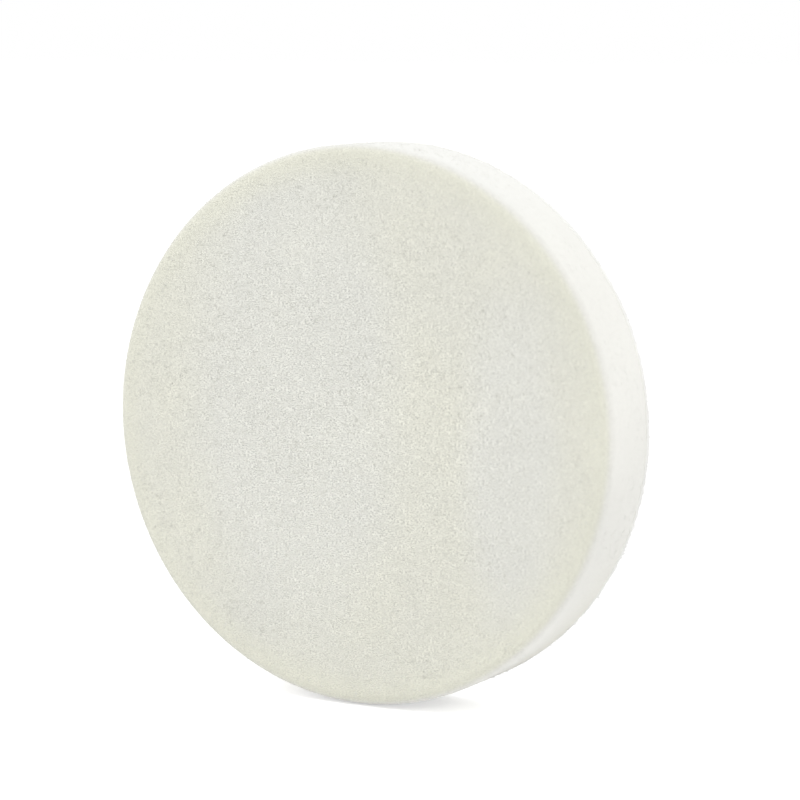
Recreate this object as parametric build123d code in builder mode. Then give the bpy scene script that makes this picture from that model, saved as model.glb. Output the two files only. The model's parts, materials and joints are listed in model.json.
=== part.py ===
"""Felt polishing wheel, 100 mm across: a thick disc of pressed wool felt on a hook-and-loop back.

The wheel spins about Y. It stands on its rim, with its polishing face towards -Y and its loop back
towards +Y, and the origin is on the spin axis, halfway through the whole thickness. The face has no
bore and no screw: the wheel is pressed on to a hook-faced backing pad by its back alone.

The layers are built from the polishing face backwards, each where the one before it ends. They are cut
out together by one round die, so all but the glue share one diameter:

    felt_disc           the pressed wool felt that does the polishing
    adhesive_film       contact adhesive between the felt and the loop fabric
    loop_ground_cloth   the knitted ground of the loop fabric
    loop_pile           the nap of nylon loops, as one plain disc at its relaxed height
"""
from build123d import *
import os

# ---------------------------------------------------------------- driving dimensions, in mm
wheel_diameter = 100.0
felt_thickness = 15.0
adhesive_thickness = 0.3
cloth_thickness = 0.5
pile_height = 1.2

working_edge_radius = 2.0  # soft round between the polishing face and the rim
rear_edge_radius = 0.3  # worn corner that the cutting die leaves at the back of the felt
pile_edge_radius = 0.4  # the nap thins out at its edge
adhesive_inset = 0.2  # the film stops just short of the rim, so no glue stands proud

# ---------------------------------------------------------------- places worked out from them
wheel_radius = wheel_diameter / 2
total_thickness = felt_thickness + adhesive_thickness + cloth_thickness + pile_height

felt_front = -total_thickness / 2
adhesive_front = felt_front + felt_thickness
cloth_front = adhesive_front + adhesive_thickness
pile_front = cloth_front + cloth_thickness


def layer_plane(depth):
    """The plane square to the spin axis at this depth, facing the back of the wheel."""
    return Plane(origin=(0, depth, 0), x_dir=(1, 0, 0), z_dir=(0, 1, 0))


# ---------------------------------------------------------------- felt_disc
with BuildPart() as felt_disc:
    with BuildSketch(layer_plane(felt_front)):
        Circle(wheel_radius)
    extrude(amount=felt_thickness)
    rim_edges = felt_disc.edges().filter_by(GeomType.CIRCLE).sort_by(Axis.Y)
    fillet(rim_edges[0], radius=working_edge_radius)
    fillet(rim_edges[-1], radius=rear_edge_radius)
felt_disc.part.label = "felt_disc"

# ---------------------------------------------------------------- adhesive_film
with BuildPart() as adhesive_film:
    with BuildSketch(layer_plane(adhesive_front)):
        Circle(wheel_radius - adhesive_inset)
    extrude(amount=adhesive_thickness)
adhesive_film.part.label = "adhesive_film"

# ---------------------------------------------------------------- loop_ground_cloth
with BuildPart() as loop_ground_cloth:
    with BuildSketch(layer_plane(cloth_front)):
        Circle(wheel_radius)
    extrude(amount=cloth_thickness)
loop_ground_cloth.part.label = "loop_ground_cloth"

# ---------------------------------------------------------------- loop_pile
with BuildPart() as loop_pile:
    with BuildSketch(layer_plane(pile_front)):
        Circle(wheel_radius)
    extrude(amount=pile_height)
    back_edge = loop_pile.edges().filter_by(GeomType.CIRCLE).sort_by(Axis.Y)[-1]
    fillet(back_edge, radius=pile_edge_radius)
loop_pile.part.label = "loop_pile"

# ---------------------------------------------------------------- one STEP per piece
os.makedirs("parts", exist_ok=True)
for piece in (felt_disc, adhesive_film, loop_ground_cloth, loop_pile):
    export_step(piece.part, f"parts/{piece.part.label}.step")
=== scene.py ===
"""Looks of the felt polishing wheel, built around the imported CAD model.

The wheel is a thick disc of pressed wool felt on a loop fabric back. The frame gives every size: the disc
lies in the XZ plane, its polishing face looks along -Y and its loop back along +Y. Each soft CAD solid is
replaced by meshes of what it stands for: matted wool with its fibres, a film of glue, a knitted ground and
a nap of nylon loops.
"""
import json
import math

import bpy
import numpy as np
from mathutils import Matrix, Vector, noise

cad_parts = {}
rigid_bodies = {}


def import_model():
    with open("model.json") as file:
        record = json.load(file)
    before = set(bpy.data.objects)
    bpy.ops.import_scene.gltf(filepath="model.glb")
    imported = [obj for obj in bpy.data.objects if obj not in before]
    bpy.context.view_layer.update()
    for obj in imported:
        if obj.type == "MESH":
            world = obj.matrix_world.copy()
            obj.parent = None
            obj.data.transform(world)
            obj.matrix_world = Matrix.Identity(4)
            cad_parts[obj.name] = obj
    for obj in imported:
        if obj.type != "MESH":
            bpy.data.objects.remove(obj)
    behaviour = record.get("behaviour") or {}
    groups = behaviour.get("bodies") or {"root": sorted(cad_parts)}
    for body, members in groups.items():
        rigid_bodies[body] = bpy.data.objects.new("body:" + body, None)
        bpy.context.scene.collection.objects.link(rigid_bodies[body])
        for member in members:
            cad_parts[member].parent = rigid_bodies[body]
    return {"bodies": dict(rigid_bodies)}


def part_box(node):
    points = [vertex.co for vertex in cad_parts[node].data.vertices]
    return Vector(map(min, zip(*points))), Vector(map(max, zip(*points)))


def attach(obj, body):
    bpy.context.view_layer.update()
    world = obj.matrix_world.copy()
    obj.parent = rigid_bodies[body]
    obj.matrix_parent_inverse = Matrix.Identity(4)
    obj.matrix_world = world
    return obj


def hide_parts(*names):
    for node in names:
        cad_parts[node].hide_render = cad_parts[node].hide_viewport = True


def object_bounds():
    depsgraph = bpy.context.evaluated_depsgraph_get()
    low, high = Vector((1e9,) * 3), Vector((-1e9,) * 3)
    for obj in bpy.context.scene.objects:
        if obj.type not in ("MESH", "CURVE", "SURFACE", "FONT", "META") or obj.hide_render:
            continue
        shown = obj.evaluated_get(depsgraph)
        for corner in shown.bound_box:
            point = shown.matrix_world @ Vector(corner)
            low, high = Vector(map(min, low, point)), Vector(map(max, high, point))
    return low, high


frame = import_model()
cad_low, cad_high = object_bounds()

MM = 0.001  # the frame is in metres, and fibres and yarns are easier to read in millimetres

# ---------------------------------------------------------------- places taken from the frame
felt_low, felt_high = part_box("felt_disc")
glue_low, glue_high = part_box("adhesive_film")
cloth_low, cloth_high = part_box("loop_ground_cloth")
pile_low, pile_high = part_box("loop_pile")

felt_radius = felt_high.x
working_edge = 0.04 * felt_radius  # round between the polishing face and the rim
rear_edge = 0.006 * felt_radius
side_front = felt_low.y + working_edge
side_back = felt_high.y - rear_edge

wale_pitch = 1.25 * MM  # ribs of the knitted ground, side by side along X
course_pitch = 1.25 * MM  # stitches along each rib, up Z
nap_depth = pile_high.y - pile_low.y
nap_bed_share = 0.62  # how much of the nap's depth is matted solid, with single loops above it

# ---------------------------------------------------------------- grain of the polishing face
pores_per_mm = 5.7  # across the grain
pores_along_share = 0.45  # of the pores across it, per millimetre, so a pore is wider than it is tall
pore_patches_per_mm = 0.9
# painted shade in the pores: how strongly it darkens the deepest
pore_shade_strength = 0.27  # how much darker the deepest pores are
grain_relief = 0.25 * MM
side_grain_per_mm = 1.6

# ---------------------------------------------------------------- how finely each disc is gridded
felt_rings = 112
glue_rings = 72
fabric_rings = 144

# ---------------------------------------------------------------- how many fibres and yarn ends there are
face_fibre_count = 10500
side_fibre_count = 5000
edge_fuzz_count = 2500
side_fuzz_count = 4500
yarn_end_count = 4000
stray_count = 1800

# ---------------------------------------------------------------- light and camera
tent_strength = 0.96
key_strength = 0.9
key_softness = 35  # degrees across
towards_key = (0.15, -0.30, 0.94)
floor_glow = 0.55  # seen by the camera alone, so it puts no light on the wheel
camera_azimuth = 28.7  # degrees to the right of the face
camera_height = 7.0  # degrees above level
camera_distance = 10 * felt_radius
camera_lens = 125.4  # millimetres, on a sensor 36 mm wide
camera_aperture = 14.0
aim_right = 0.086 * felt_radius  # the wheel sits a little left of and below the middle of the picture
aim_up = 0.080 * felt_radius

# ---------------------------------------------------------------- colours, as shares of light sent back
pale_wool = (0.782, 0.782, 0.737)
cream_wool = (0.783, 0.779, 0.704)
face_edge_wool = (0.797, 0.794, 0.708)
# the round: partly the side's whiter wool, partly painted highlight along the working edge
round_wool_and_highlight = (0.795, 0.790, 0.755)  # on the round of the working edge
# whiter than the face: partly the cut wool's own tone, partly painted highlight on the brightly lit side
side_wool_and_highlight = (0.815, 0.810, 0.772)
# painted shade on the side: darker and yellower low at the back, darker along the top
low_back_shade_wool = (0.760, 0.752, 0.690)
top_shade_wool = (0.793, 0.793, 0.763)
dark_fibre = (0.710, 0.708, 0.650)
light_fibre = (0.830, 0.828, 0.775)
# side fibres are whiter, partly painted highlight, as on the side
side_fibre = (0.830, 0.826, 0.790)
thick_glue = (0.83, 0.80, 0.71)
thin_glue = (0.88, 0.865, 0.80)
dark_ground = (0.82, 0.82, 0.79)
light_ground = (0.91, 0.91, 0.89)
dark_nap = (0.835, 0.835, 0.81)
light_nap = (0.92, 0.92, 0.90)
floor_grey = (0.90, 0.90, 0.90)


# ---------------------------------------------------------------- mesh helpers
def make_piece(name, shape, material):
    """A smooth shaded mesh object, from (points, faces), that rides on the wheel's only body."""
    points, faces = shape
    mesh = bpy.data.meshes.new(name)
    mesh.from_pydata(points.tolist(), [], faces)
    mesh.polygons.foreach_set("use_smooth", [True] * len(mesh.polygons))
    mesh.materials.append(material)
    mesh.update()
    piece = bpy.data.objects.new(name, mesh)
    bpy.context.scene.collection.objects.link(piece)
    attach(piece, "root")
    return piece


def square_disc(rings):
    """A unit disc gridded as nested squares pushed out to circles, with almost even cells.

    Returns its (x, z) points, its quads, and the points of its outer circle in order of angle from +X.
    Ring number k holds 8 k points.
    """
    steps = np.arange(-rings, rings + 1) / rings
    across, up = np.meshgrid(steps, steps, indexing="ij")
    ring = np.maximum(abs(across), abs(up))
    safe_ring = np.where(ring == 0, 1.0, ring)
    sideways = abs(across) >= abs(up)
    turn = np.where(sideways, up, across) / safe_ring * math.pi / 4
    x = np.where(sideways, np.sign(across) * ring * np.cos(turn), ring * np.sin(turn))
    z = np.where(sideways, ring * np.sin(turn), np.sign(up) * ring * np.cos(turn))
    points = np.stack([x.ravel(), z.ravel()], axis=1)

    side = 2 * rings + 1
    ids = np.arange(side * side).reshape(side, side)
    quads = np.stack([ids[:-1, :-1], ids[1:, :-1], ids[1:, 1:], ids[:-1, 1:]], axis=-1)
    outline = np.concatenate([ids[0, :], ids[-1, :], ids[1:-1, 0], ids[1:-1, -1]])
    angle = np.arctan2(points[outline, 1], points[outline, 0]) % (2 * math.pi)
    return points, quads.reshape(-1, 4), outline[np.argsort(angle)]


def around(radius, y, columns):
    """Points of a circle about the spin axis."""
    angle = 2 * math.pi * np.arange(columns) / columns
    return np.stack([radius * np.cos(angle), np.full(columns, y), radius * np.sin(angle)], axis=1)


def band(first, second):
    """Quads between two closed rows of point numbers."""
    return np.stack([first, second, np.roll(second, -1), np.roll(first, -1)], axis=1).tolist()


def disc_solid(rings, rows, relief):
    """A closed disc: a gridded face looking along -Y, rows swept round the rim, and a plain back.

    Each row is (radius, y, normal outwards, normal along Y), and the first row is the face's outline.
    relief(points, normals) is how far each point moves out along its normal.
    """
    flat, quads, outline = square_disc(rings)
    radius, y = rows[0][:2]
    face = np.stack([flat[:, 0] * radius, np.full(len(flat), y), flat[:, 1] * radius], axis=1)
    points = [face]
    normals = [np.tile((0.0, -1.0, 0.0), (len(face), 1))]
    loops = [outline]
    columns = len(outline)
    for number, (radius, y, out, along) in enumerate(rows[1:]):
        points.append(around(radius, y, columns))
        normals.append(around(out, along, columns))
        loops.append(len(face) + number * columns + np.arange(columns))
    points = np.concatenate(points)
    normals = np.concatenate(normals)
    points += normals * relief(points, normals)[:, None]

    faces = quads.tolist()
    for first, second in zip(loops, loops[1:]):
        faces += band(first, second)
    hub = len(points)
    points = np.concatenate([points, [(0.0, rows[-1][1], 0.0)]])
    faces += [(int(a), hub, int(b)) for a, b in zip(loops[-1], np.roll(loops[-1], -1))]
    return points, faces


def turned_round(shape):
    """The same shape, mirrored so that what looked along -Y looks along +Y."""
    points, faces = shape
    return points * (1, -1, 1), [tuple(reversed(face)) for face in faces]


def corner_rows(centre_radius, centre_y, radius, start, end, count):
    """Rim rows round a corner. At angle 0 the corner looks along -Y and at 90 degrees it looks outwards."""
    rows = []
    for angle in np.linspace(math.radians(start), math.radians(end), count):
        out = math.sin(angle)
        along = -math.cos(angle)
        rows.append((centre_radius + radius * out, centre_y + radius * along, out, along))
    return rows


def lengths_of(vectors):
    return np.linalg.norm(vectors, axis=-1, keepdims=True)


def threads(paths, radii, sides=3):
    """Closed threads that come to a point at both ends, along paths of shape (thread, point, 3).

    radii holds the half thickness at each point between the ends, in the shape (thread, point).
    """
    count, length = paths.shape[:2]
    rows = length - 2
    along = paths[:, 2:] - paths[:, :-2]
    along /= lengths_of(along)
    helper = np.where(abs(along[..., 1:2]) < 0.8, (0.0, 1.0, 0.0), (1.0, 0.0, 0.0))
    across = np.cross(along, helper)
    across /= lengths_of(across)
    over = np.cross(along, across)
    turn = (2 * math.pi * np.arange(sides) / sides)[:, None]
    ring = across[:, :, None] * np.cos(turn) + over[:, :, None] * np.sin(turn)
    ring = paths[:, 1:-1, None] + ring * radii[:, :, None, None]
    points = np.concatenate([ring.reshape(count, -1, 3), paths[:, :1], paths[:, -1:]], axis=1)

    first_tip = rows * sides
    last_tip = first_tip + 1
    last_row = (rows - 1) * sides
    pattern = []
    for side in range(sides):
        following = (side + 1) % sides
        pattern.append((first_tip, following, side))
        for start in range(0, last_row, sides):
            pattern.append((start + side, start + following, start + following + sides))
            pattern.append((start + side, start + following + sides, start + side + sides))
        pattern.append((last_row + side, last_row + following, last_tip))
    offsets = (rows * sides + 2) * np.arange(count)
    faces = np.array(pattern) + offsets[:, None, None]
    return points.reshape(-1, 3), faces.reshape(-1, 3).tolist()


def noise_at(points, wavelength, shift=0.0):
    """Smooth noise of this wavelength at each point, between about -1 and 1."""
    offset = Vector((shift, 0.0, 0.0))
    return np.array([noise.noise(Vector(point) / wavelength + offset) for point in points.tolist()])


# ---------------------------------------------------------------- node helpers
def new_material(name):
    material = bpy.data.materials.new(name)
    material.use_nodes = True
    material.node_tree.nodes.clear()
    return material, material.node_tree


def add_node(tree, kind, inputs=None, **settings):
    """A node with its settings. Each named or numbered input is set to a value or linked to an output."""
    node = tree.nodes.new(kind)
    for key, value in settings.items():
        setattr(node, key, value)
    for key, value in (inputs or {}).items():
        if isinstance(value, bpy.types.NodeSocket):
            tree.links.new(value, node.inputs[key])
        else:
            node.inputs[key].default_value = value
    return node


def maths(tree, operation, first, second=0.0):
    return add_node(tree, "ShaderNodeMath", {0: first, 1: second}, operation=operation).outputs[0]


def weighted(tree, *terms):
    """The sum of each (value, weight) pair."""
    total = maths(tree, "MULTIPLY", *terms[0])
    for value, weight in terms[1:]:
        total = maths(tree, "ADD", total, maths(tree, "MULTIPLY", value, weight))
    return total


def remap(tree, value, low, high, to_low=0.0, to_high=1.0):
    """Slides a value smoothly from to_low to to_high as it goes from low to high."""
    inputs = {"Value": value, "From Min": low, "From Max": high, "To Min": to_low, "To Max": to_high}
    return add_node(tree, "ShaderNodeMapRange", inputs, interpolation_type="SMOOTHSTEP").outputs[0]


def mix_colour(tree, share, first, second, blend="MIX"):
    node = add_node(tree, "ShaderNodeMix", data_type="RGBA", blend_type=blend)
    sockets = {socket.identifier: socket for socket in node.inputs}
    for name, value in (("Factor_Float", share), ("A_Color", first), ("B_Color", second)):
        if isinstance(value, bpy.types.NodeSocket):
            tree.links.new(value, sockets[name])
        elif isinstance(value, tuple):
            sockets[name].default_value = (*value, 1.0)
        else:
            sockets[name].default_value = value
    return next(socket for socket in node.outputs if socket.identifier == "Result_Color")


def grey(tree, value):
    return add_node(tree, "ShaderNodeCombineColor", {0: value, 1: value, 2: value}).outputs[0]


def place_scaled(tree, scale):
    """Place on the wheel, multiplied by scale."""
    place = add_node(tree, "ShaderNodeTexCoord").outputs["Object"]
    return add_node(tree, "ShaderNodeVectorMath", {0: place, "Scale": scale}, operation="SCALE").outputs[0]


def position_mm(tree):
    """Place on the wheel in millimetres, so that a texture's scale reads as repeats per millimetre."""
    return place_scaled(tree, 1 / MM)


def split(tree, vector):
    return add_node(tree, "ShaderNodeSeparateXYZ", {0: vector}).outputs


def noise_node(tree, place, per_mm, detail=2.0, roughness=0.5, distortion=0.0, dimensions="3D"):
    inputs = {"Vector": place, "Scale": per_mm, "Detail": detail, "Roughness": roughness,
              "Distortion": distortion}
    return add_node(tree, "ShaderNodeTexNoise", inputs, noise_dimensions=dimensions).outputs["Fac"]


def outside_oval(tree, across, up, middle, squeeze, inner, outer):
    """0 inside a soft oval of the disc and 1 outside it.

    Places and distances are shares of the felt's radius, and distances along X are multiplied by squeeze.
    """
    offset_x = maths(tree, "MULTIPLY", maths(tree, "SUBTRACT", across, middle[0]), squeeze)
    offset_z = maths(tree, "SUBTRACT", up, middle[1])
    offset = add_node(tree, "ShaderNodeCombineXYZ", {0: offset_x, 1: offset_z}).outputs[0]
    distance = add_node(tree, "ShaderNodeVectorMath", {0: offset}, operation="LENGTH").outputs["Value"]
    return remap(tree, distance, inner, outer)


def surface(tree, inputs):
    principled = add_node(tree, "ShaderNodeBsdfPrincipled", inputs)
    add_node(tree, "ShaderNodeOutputMaterial", {"Surface": principled.outputs[0]})


# ---------------------------------------------------------------- wool materials
def rim_share(tree, y_mm):
    """0 on the polishing face and 1 on the cut side, changing over the working edge."""
    return remap(tree, y_mm, (felt_low.y + 0.12 * working_edge) / MM, side_front / MM)


def face_tone(tree, across, up, y_mm, near_edge, mottle_swing):
    """Pale in the middle and along an upright streak, creamier elsewhere, and whiter again on the round, partly
    painted highlight.
    """
    beyond_middle = outside_oval(tree, across, up, (-0.25, 0.12), 2.0, 0.55, 1.1)
    beyond_streak = outside_oval(tree, across, up, (0.62, -0.05), 3.0, 0.3, 0.75)
    beyond_both = maths(tree, "MULTIPLY", beyond_middle, beyond_streak)
    cream = maths(tree, "MAXIMUM", weighted(tree, (beyond_both, 0.8), (mottle_swing, 1.0)), 0.0)
    tone = mix_colour(tree, cream, pale_wool, cream_wool)
    tone = mix_colour(tree, near_edge, tone, face_edge_wool)
    round_start = felt_low.y + 0.05 * working_edge
    round_end = felt_low.y + 0.55 * working_edge
    # whiter on the round: partly the side's wool, partly painted highlight
    return mix_colour(tree, remap(tree, y_mm, round_start / MM, round_end / MM), tone, round_wool_and_highlight)


def side_tone(tree, up, y_mm):
    """Almost white, partly painted highlight, with painted shade a little darker and yellower low down at the
    back and a little darker along the top.
    """
    towards_back = remap(tree, y_mm, side_front / MM, felt_high.y / MM)
    low_down = remap(tree, up, -0.3, -0.75)
    # painted shade, darker and yellower low down towards the back of the side
    tone = mix_colour(tree, maths(tree, "MULTIPLY", towards_back, low_down), side_wool_and_highlight, low_back_shade_wool)
    # painted shade, a little darker along the top of the side
    return mix_colour(tree, remap(tree, up, 0.55, 0.95), tone, top_shade_wool)


def wool_material():
    """Off-white pressed wool, with a pored polishing face and a smoother, whiter side.

    The pores are painted shade in the felt's hollows. They are stretched across the wheel, so that a pore is
    wider than it is tall, which stands in for the overhead key light raking the relief. Their texture is flat,
    laid on the polishing face. Their painted shade comes and goes in patches, and fades outwards, where the
    face is smoother. The side's whiteness is partly painted highlight.
    """
    material, tree = new_material("pressed_wool")
    place = position_mm(tree)
    x_mm, y_mm, z_mm = split(tree, place)
    across, _, up = split(tree, place_scaled(tree, 1 / felt_radius))
    on_rim = rim_share(tree, y_mm)
    on_face = maths(tree, "SUBTRACT", 1.0, on_rim)

    stretched_x = maths(tree, "MULTIPLY", x_mm, pores_along_share)
    on_plane = add_node(tree, "ShaderNodeCombineXYZ", {0: stretched_x, 1: z_mm}).outputs[0]
    pores = noise_node(tree, on_plane, pores_per_mm, detail=0.5, roughness=0.7, distortion=0.3, dimensions="2D")
    pore_patches = noise_node(tree, on_plane, pore_patches_per_mm, detail=1.0, dimensions="2D")
    side_grain = noise_node(tree, place, side_grain_per_mm)
    height = weighted(tree, (maths(tree, "MULTIPLY", on_face, pores), 1.0),
                      (maths(tree, "MULTIPLY", on_rim, side_grain), 1.0))
    mottle_swing = maths(tree, "SUBTRACT", noise_node(tree, place, 0.06, detail=3.0), 0.5)

    near_edge = outside_oval(tree, across, up, (0.0, 0.0), 1.0, 0.86, 0.97)
    smoother = outside_oval(tree, across, up, (0.0, 0.0), 1.0, 0.35, 1.0)
    grain_left = maths(tree, "SUBTRACT", 1.0, weighted(tree, (smoother, 0.4), (near_edge, 0.2)))
    patchiness = maths(tree, "MULTIPLY", remap(tree, pore_patches, 0.35, 0.65, 0.6, 1.4), grain_left)
    # depth of the painted shade in the pores: in patches, fading outwards, faint on the side
    pore_shade_depth = weighted(tree, (maths(tree, "MULTIPLY", on_face, patchiness), pore_shade_strength), (on_rim, 0.02))
    emptiness = remap(tree, height, 0.30, 0.62, 0.58, -0.42)
    # painted shade in the pores
    pore_shade = maths(tree, "MULTIPLY", emptiness, pore_shade_depth)
    dull_patch = maths(tree, "SUBTRACT", 1.0, outside_oval(tree, across, up, (0.28, -0.66), 1.0, 0.1, 0.3))
    pore_unshaded_share = maths(tree, "SUBTRACT", 1.0, pore_shade)
    # the painted pore shade, with the face's own mottle and a faint darker patch
    shade = weighted(tree, (pore_unshaded_share, 1.0), (mottle_swing, 0.08), (dull_patch, -0.01))

    face = face_tone(tree, across, up, y_mm, near_edge, mottle_swing)
    tone = mix_colour(tree, on_rim, face, side_tone(tree, up, y_mm))
    bump = add_node(tree, "ShaderNodeBump", {
        "Height": height,
        "Distance": weighted(tree, (on_face, grain_relief), (on_rim, 0.04 * MM)),
        "Strength": 0.8,
    })
    surface(tree, {
        "Base Color": mix_colour(tree, 1.0, tone, grey(tree, shade), "MULTIPLY"),
        "Roughness": remap(tree, height, 0.3, 0.8, 0.98, 0.86),
        "Diffuse Roughness": 1.0,
        "Specular IOR Level": 0.2,
        "Sheen Weight": 0.15,
        "Sheen Roughness": 0.5,
        "Normal": bump.outputs[0],
    })
    return material


def wool_fibre_material():
    """Single wool fibres in the felt's own tones, each slightly different; on the side they are whiter, partly
    painted highlight.
    """
    material, tree = new_material("wool_fibre")
    y_mm = split(tree, position_mm(tree))[1]
    each = add_node(tree, "ShaderNodeNewGeometry").outputs["Random Per Island"]
    on_face = mix_colour(tree, each, dark_fibre, light_fibre)
    surface(tree, {
        # on the side, whiter fibres, partly painted highlight
        "Base Color": mix_colour(tree, rim_share(tree, y_mm), on_face, side_fibre),
        "Roughness": remap(tree, each, 0.0, 1.0, 0.7, 0.9),
        "Specular IOR Level": 0.3,
        "Sheen Weight": 0.1,
    })
    return material


# ---------------------------------------------------------------- glue and nylon materials
def glue_material():
    """Cured contact adhesive: pale amber, a little glossy, thicker in some stretches than in others."""
    material, tree = new_material("contact_adhesive")
    blotch = noise_node(tree, position_mm(tree), 0.8, detail=3.0)
    bump = add_node(tree, "ShaderNodeBump", {"Height": blotch, "Distance": 0.1 * MM, "Strength": 0.6})
    surface(tree, {
        "Base Color": mix_colour(tree, remap(tree, blotch, 0.3, 0.7), thick_glue, thin_glue),
        "Roughness": remap(tree, blotch, 0.3, 0.7, 0.45, 0.25),
        "Normal": bump.outputs[0],
    })
    return material


def nylon_material(name, dark, light, fibres_per_mm):
    """White nylon yarn with a soft sheen, each yarn a little lighter or darker than its neighbour."""
    material, tree = new_material(name)
    place = position_mm(tree)
    each = add_node(tree, "ShaderNodeNewGeometry").outputs["Random Per Island"]
    fibre = noise_node(tree, place, fibres_per_mm)
    patch = noise_node(tree, place, 0.08)
    tone = weighted(tree, (each, 0.35), (fibre, 0.45), (patch, 0.3))
    bump = add_node(tree, "ShaderNodeBump", {"Height": fibre, "Distance": 0.05 * MM, "Strength": 0.5})
    surface(tree, {
        "Base Color": mix_colour(tree, remap(tree, tone, 0.25, 0.85), dark, light),
        "Roughness": remap(tree, fibre, 0.3, 0.7, 0.55, 0.75),
        "Sheen Weight": 0.1,
        "Sheen Roughness": 0.35,
        "Normal": bump.outputs[0],
    })
    return material


# ---------------------------------------------------------------- felt body
def felt_relief(points, normals):
    """How far the matted surface stands off the plain disc: slow waves, tufts, and creases between them."""
    waves = noise_at(points, 14 * MM)
    tufts = noise_at(points, 2.2 * MM, shift=7.3)
    creases = np.clip(1 - abs(noise_at(points, 1.3 * MM, shift=3.1)) * 2, 0, 1) ** 2
    roughness = 0.35 + 0.65 * np.clip(-normals[:, 1], 0, 1)
    return MM * (0.03 * waves + roughness * (0.015 * tufts - 0.015 * creases))


def build_felt(material):
    rows = corner_rows(felt_radius - working_edge, side_front, working_edge, 0, 90, 9)
    rows += [(felt_radius, y, 1.0, 0.0) for y in np.linspace(side_front, side_back, 29)[1:-1]]
    rows += corner_rows(felt_radius - rear_edge, side_back, rear_edge, 90, 180, 4)
    felt = make_piece("pressed_wool_body", disc_solid(felt_rings, rows, felt_relief), material)
    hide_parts("felt_disc")


# ---------------------------------------------------------------- wool fibres
def on_the_face(count, rng):
    """Random places on the polishing face, with the way out of the felt there."""
    radius = (felt_radius - working_edge) * np.sqrt(rng.random(count))
    angle = 2 * math.pi * rng.random(count)
    points = np.stack([radius * np.cos(angle), np.full(count, felt_low.y), radius * np.sin(angle)], axis=1)
    return points, np.tile((0.0, -1.0, 0.0), (count, 1))


def on_the_side(count, rng, radius, first_y, last_y):
    """Random places on a cut side of this radius, with the way out of it there."""
    angle = 2 * math.pi * rng.random(count)
    out = np.stack([np.cos(angle), np.zeros(count), np.sin(angle)], axis=1)
    points = out * radius
    points[:, 1] = first_y + (last_y - first_y) * rng.random(count)
    return points, out


def on_the_working_edge(count, rng):
    """Random places on the round between face and side, with the way out of the felt there."""
    angle = 2 * math.pi * rng.random(count)
    tilt = math.pi / 2 * rng.random(count)
    out = np.stack([np.sin(tilt) * np.cos(angle), -np.cos(tilt), np.sin(tilt) * np.sin(angle)], axis=1)
    centre = np.stack([np.cos(angle), np.zeros(count), np.sin(angle)], axis=1)
    centre *= felt_radius - working_edge
    centre[:, 1] = side_front
    return centre + out * working_edge, out


def random_headings(out, rng):
    """For each way out, a random direction square to it, and the direction square to both."""
    spread = rng.normal(size=out.shape)
    ahead = spread - out * np.sum(spread * out, axis=1, keepdims=True)
    ahead /= lengths_of(ahead)
    return ahead, np.cross(out, ahead)


def lying_fibres(places, rng, length, thickness, rise, bend, inner=5):
    """Curled fibres that lie on the surface, with both ends just under it.

    length, thickness and rise are (smallest, largest) in metres. bend is how strongly a fibre curls within
    the surface, as a share of its length.
    """
    roots, out = places
    count = len(roots)
    ahead, aside = random_headings(out, rng)
    size = rng.uniform(*length, size=(count, 1))
    step = np.linspace(0, 1, inner + 2)[None]
    curl = rng.normal(scale=bend, size=(count, 1)) * np.sin(math.pi * step)
    curl += 0.5 * rng.normal(scale=bend, size=(count, 1)) * np.sin(2 * math.pi * step)
    lift = rng.uniform(*rise, size=(count, 1)) * np.sin(math.pi * step) - 0.04 * MM
    paths = roots[:, None] + ahead[:, None] * ((step - 0.5) * size)[..., None]
    paths += aside[:, None] * (curl * size)[..., None] + out[:, None] * lift[..., None]
    radii = np.repeat(rng.uniform(*thickness, size=(count, 1)) / 2, inner, axis=1)
    return threads(paths, radii)


def standing_fibres(places, rng, length, thickness, lean, inner=4):
    """Loose fibre ends that stand out of the surface and hook over, thinning towards the tip.

    length and thickness are (smallest, largest) in metres. lean is how far a tip may lie aside, as
    (smallest, largest) shares of the fibre's length.
    """
    roots, out = places
    count = len(roots)
    ahead, aside = random_headings(out, rng)
    size = rng.uniform(*length, size=(count, 1))
    step = np.linspace(0, 1, inner + 2)[None]
    slope = rng.uniform(*lean, size=(count, 1))
    hook = rng.normal(scale=0.25, size=(count, 1)) * step ** 2
    paths = roots[:, None] + out[:, None] * (size * (step - 0.5 * step ** 2) - 0.1 * MM)[..., None]
    lying_over = ahead[:, None] * (slope * size * step ** 1.5)[..., None]
    paths += lying_over + aside[:, None] * (hook * size)[..., None]
    radii = rng.uniform(*thickness, size=(count, 1)) / 2 * np.linspace(1.0, 0.5, inner)[None]
    return threads(paths, radii)


def build_wool_fibres(material):
    """Fibres matted on the face and the side, and the fuzz standing out of the side and the working edge."""
    rng = np.random.default_rng(21)
    face_places = on_the_face(face_fibre_count, rng)
    on_face = lying_fibres(face_places, rng, (0.35 * MM, 1.0 * MM), (0.07 * MM, 0.13 * MM),
                           (0.04 * MM, 0.08 * MM), 0.16, inner=3)
    make_piece("face_matted_fibres", on_face, material)
    lying_places = on_the_side(side_fibre_count, rng, felt_radius, side_front, side_back)
    on_side = lying_fibres(lying_places, rng, (0.6 * MM, 1.8 * MM), (0.04 * MM, 0.07 * MM),
                           (0.02 * MM, 0.05 * MM), 0.14)
    make_piece("side_matted_fibres", on_side, material)
    edge_fuzz = standing_fibres(on_the_working_edge(edge_fuzz_count, rng), rng, (0.2 * MM, 0.6 * MM),
                                (0.02 * MM, 0.05 * MM), (0.3, 1.4))
    make_piece("working_edge_fuzz", edge_fuzz, material)
    fuzz_places = on_the_side(side_fuzz_count, rng, felt_radius, side_front, side_back)
    side_fuzz = standing_fibres(fuzz_places, rng, (0.2 * MM, 0.5 * MM), (0.02 * MM, 0.04 * MM), (0.3, 1.4))
    make_piece("side_fuzz", side_fuzz, material)


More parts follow.
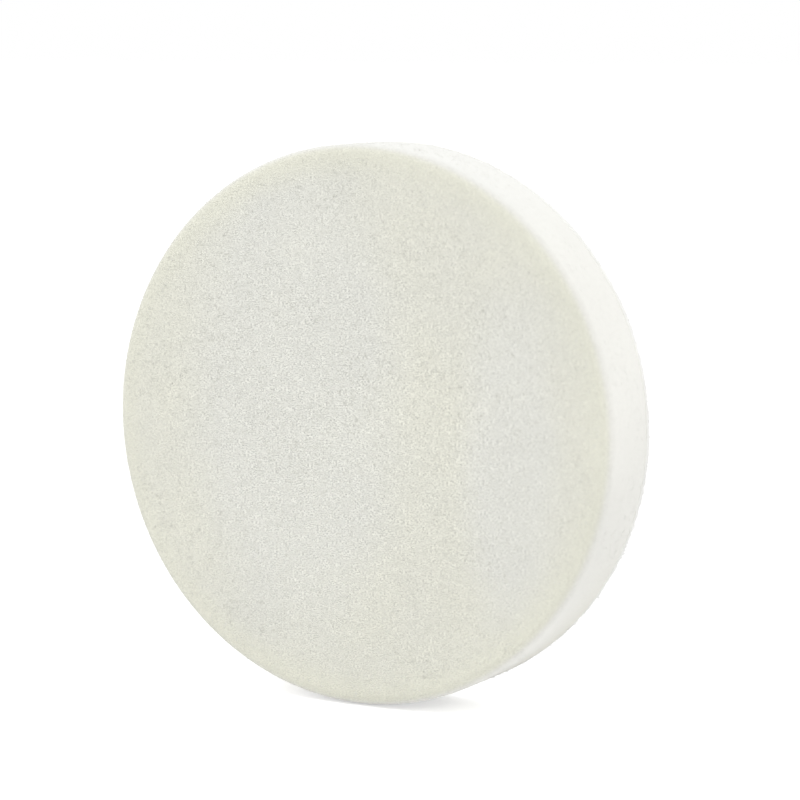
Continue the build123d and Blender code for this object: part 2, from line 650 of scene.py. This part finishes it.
# ---------------------------------------------------------------- glue film
def squeeze_out(points, normals):
    """How far the glue is squeezed out at its edge, further in some places than in others."""
    outwards = np.clip(lengths_of(normals[:, [0, 2]])[:, 0], 0, 1)
    return outwards * MM * (0.10 * noise_at(points, 5 * MM) + 0.08 * noise_at(points, 1.1 * MM, shift=4.0))


def build_glue(material):
    """A thin film with a round, uneven edge."""
    half = (glue_high.y - glue_low.y) / 2
    rows = [(glue_high.x - half, glue_low.y, 0.0, -1.0)]
    rows += corner_rows(glue_high.x - half, glue_low.y + half, half, 0, 180, 7)
    film = make_piece("glue_film", disc_solid(glue_rings, rows, squeeze_out), material)
    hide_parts("adhesive_film")


# ---------------------------------------------------------------- loop fabric
def knit_relief(points, normals):
    """Ribs of V-shaped stitches, which lean one way on the left of a rib and the other on its right."""
    across = points[:, 0] / wale_pitch
    off_rib = across - np.round(across)
    along = points[:, 2] / course_pitch + abs(off_rib)
    rib = np.cos(math.pi * off_rib)
    stitch = 0.5 + 0.5 * np.cos(2 * math.pi * along)
    uneven = noise_at(points, 6 * MM)
    on_face = np.clip(-normals[:, 1], 0, 1)
    return MM * on_face * (0.10 * rib + 0.07 * stitch - 0.16 + 0.03 * uneven)


def build_ground_cloth(material):
    thickness = cloth_high.y - cloth_low.y
    edge = 0.3 * thickness
    front = -cloth_high.y  # built facing -Y, then turned round to face the back
    radius = cloth_high.x
    rows = corner_rows(radius - edge, front + edge, edge, 0, 90, 3)
    rows += corner_rows(radius - edge, front + thickness - edge, edge, 90, 180, 3)
    cloth = turned_round(disc_solid(fabric_rings, rows, knit_relief))
    piece = make_piece("knitted_ground", cloth, material)
    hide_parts("loop_ground_cloth")


def build_cut_ends(ground_material, nap_material):
    """Yarn ends that fray out of the fabric's cut edge, and longer single filaments from the nap."""
    rng = np.random.default_rng(8)
    yarn_places = on_the_side(yarn_end_count, rng, cloth_high.x - 0.15 * MM, cloth_low.y + 0.08 * MM,
                              pile_low.y + 0.8 * nap_depth)
    yarns = standing_fibres(yarn_places, rng, (0.30 * MM, 0.70 * MM), (0.06 * MM, 0.12 * MM), (0.0, 0.8))
    make_piece("cut_yarn_ends", yarns, ground_material)
    stray_places = on_the_side(stray_count, rng, pile_high.x - 0.1 * MM, cloth_high.y, pile_high.y - 0.1 * MM)
    strays = standing_fibres(stray_places, rng, (0.5 * MM, 1.8 * MM), (0.02 * MM, 0.045 * MM), (0.3, 1.6),
                             inner=6)
    make_piece("stray_filaments", strays, nap_material)


def nap_relief(points, normals):
    """Tufts of matted nylon, with narrow furrows where the brush has parted them."""
    tufts = noise_at(points, 1.2 * MM)
    strands = noise_at(points * (1.0, 1.0, 0.5), 0.55 * MM, shift=2.0)
    return MM * (0.10 * tufts + 0.07 * strands - 0.04)


def build_nap_bed(material):
    """The lower part of the nap, where the loops lie too close together to be told apart."""
    edge = 0.3 * nap_depth
    front = -(pile_low.y + nap_bed_share * nap_depth)  # built facing -Y, then turned round to face the back
    rows = corner_rows(pile_high.x - edge, front + edge, edge, 0, 90, 4)
    rows += [(pile_high.x, -pile_low.y, 1.0, 0.0)]
    bed = turned_round(disc_solid(fabric_rings, rows, nap_relief))
    piece = make_piece("matted_nap_bed", bed, material)
    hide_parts("loop_pile")


def loop_lattice(shift, across_pitch, up_pitch):
    """Feet of one bar's loops: every wale and course within the nap, shifted by part of a pitch."""
    reach = pile_high.x - 0.15 * MM
    x = np.arange(-reach, reach, across_pitch) + shift * across_pitch
    z = np.arange(-reach, reach, up_pitch) + shift * up_pitch
    grid_x, grid_z = np.meshgrid(x, z)
    feet = np.stack([grid_x.ravel(), grid_z.ravel()], axis=1)
    return feet[lengths_of(feet)[:, 0] < reach]


def nylon_loops(feet, rng, inner=4):
    """Brushed loops, each of which rises out of the bed, leans with its neighbours and comes back down."""
    count = len(feet)
    feet = feet + rng.normal(scale=0.15 * MM, size=feet.shape)
    step = np.linspace(0, 1, inner + 2)[None]
    arch = np.sin(math.pi * step)
    foot_y = pile_low.y + 0.4 * nap_depth
    tallness = (pile_high.y - foot_y) * rng.uniform(0.5, 0.97, size=(count, 1))
    opening = rng.uniform(0.2, 0.4, size=(count, 1)) * MM
    facing = rng.normal(scale=0.7, size=(count, 1))
    spread = -np.cos(math.pi * step) * opening * (1 + 0.6 * arch)

    ground = np.stack([feet[:, 0], np.zeros(count), feet[:, 1]], axis=1)
    brush = noise_at(ground, 9 * MM)[:, None] * 0.8 - 1.35 + rng.normal(scale=0.4, size=(count, 1))
    lean = rng.uniform(0.3, 0.9, size=(count, 1)) * MM * arch ** 1.3
    x = feet[:, :1] + spread * np.cos(facing) + lean * np.cos(brush)
    z = feet[:, 1:] + spread * np.sin(facing) + lean * np.sin(brush)
    y = foot_y + tallness * arch ** 0.8
    paths = np.stack([x, y, z], axis=2)
    thickness = rng.uniform(0.05, 0.08, size=(count, 1)) * MM
    return threads(paths, np.repeat(thickness / 2, inner, axis=1))


def build_loops(material):
    """Four guide bars of the knitting machine each throw a set of loops, staggered between one another."""
    rng = np.random.default_rng(5)
    bars = ("first_bar_loops", "second_bar_loops", "third_bar_loops", "fourth_bar_loops")
    for number, name in enumerate(bars):
        feet = loop_lattice((number + 0.5) / len(bars), 0.95 * MM, 1.0 * MM)
        make_piece(name, nylon_loops(feet, rng), material)


# ---------------------------------------------------------------- stage, light and camera
def build_floor():
    """A plain pale floor under the rim, wider than every view, and brightened for the camera."""
    half = 200 * felt_radius
    z = cad_low.z - 0.3 * MM
    mesh = bpy.data.meshes.new("floor")
    corners = [(-half, -half, z), (half, -half, z), (half, half, z), (-half, half, z)]
    mesh.from_pydata(corners, [], [(0, 1, 2, 3)])
    floor = bpy.data.objects.new("floor", mesh)
    bpy.context.scene.collection.objects.link(floor)

    material, tree = new_material("pale_floor")
    camera_ray = add_node(tree, "ShaderNodeLightPath").outputs["Is Camera Ray"]
    glow = maths(tree, "MULTIPLY", camera_ray, floor_glow)
    matt = add_node(tree, "ShaderNodeBsdfDiffuse", {"Color": (*floor_grey, 1.0)})
    lift = add_node(tree, "ShaderNodeEmission", {"Strength": glow})
    both = add_node(tree, "ShaderNodeAddShader", {0: matt.outputs[0], 1: lift.outputs[0]})
    add_node(tree, "ShaderNodeOutputMaterial", {"Surface": both.outputs[0]})
    mesh.materials.append(material)


def build_world():
    """An even white light tent, and plain white where the camera sees past the floor."""
    world = bpy.data.worlds.new("white_tent")
    bpy.context.scene.world = world
    world.use_nodes = True
    tree = world.node_tree
    tree.nodes.clear()
    tent_light = add_node(tree, "ShaderNodeBackground", {"Color": (1, 1, 1, 1), "Strength": tent_strength})
    backdrop = add_node(tree, "ShaderNodeBackground", {"Color": (1, 1, 1, 1), "Strength": 1.0})
    camera_ray = add_node(tree, "ShaderNodeLightPath").outputs["Is Camera Ray"]
    shaders = {0: camera_ray, 1: tent_light.outputs[0], 2: backdrop.outputs[0]}
    seen = add_node(tree, "ShaderNodeMixShader", shaders)
    add_node(tree, "ShaderNodeOutputWorld", {"Surface": seen.outputs[0]})


def build_key_light():
    """A broad soft light overhead that rakes down the face and shows its grain."""
    data = bpy.data.lights.new("soft_key", "SUN")
    data.energy = key_strength
    data.angle = math.radians(key_softness)
    key = bpy.data.objects.new("soft_key", data)
    key.rotation_euler = Vector(towards_key).to_track_quat("Z", "Y").to_euler()
    bpy.context.scene.collection.objects.link(key)


def build_camera():
    """A long lens without roll, to the right of the face and a little above it."""
    azimuth = math.radians(camera_azimuth)
    elevation = math.radians(camera_height)
    back = Vector((math.sin(azimuth) * math.cos(elevation), -math.cos(azimuth) * math.cos(elevation),
                   math.sin(elevation)))
    right = Vector((math.cos(azimuth), math.sin(azimuth), 0.0))
    up = back.cross(right)
    middle = (cad_low + cad_high) / 2
    aim = middle + right * aim_right + up * aim_up

    data = bpy.data.cameras.new("camera")
    data.sensor_width = 36.0
    data.lens = camera_lens
    data.dof.use_dof = True
    data.dof.focus_object = frame["bodies"]["root"]
    data.dof.aperture_fstop = camera_aperture
    camera = bpy.data.objects.new("camera", data)
    camera.location = aim + back * camera_distance
    camera.rotation_euler = back.to_track_quat("Z", "Y").to_euler()
    bpy.context.scene.collection.objects.link(camera)
    bpy.context.scene.camera = camera
    bpy.context.scene.view_settings.view_transform = "Standard"


build_felt(wool_material())
build_wool_fibres(wool_fibre_material())
build_glue(glue_material())
ground_nylon = nylon_material("knitted_nylon", dark_ground, light_ground, 4.0)
nap_nylon = nylon_material("brushed_nylon", dark_nap, light_nap, 6.0)
build_ground_cloth(ground_nylon)
build_cut_ends(ground_nylon, nap_nylon)
build_nap_bed(nap_nylon)
build_loops(nap_nylon)
build_floor()
build_world()
build_key_light()
build_camera()
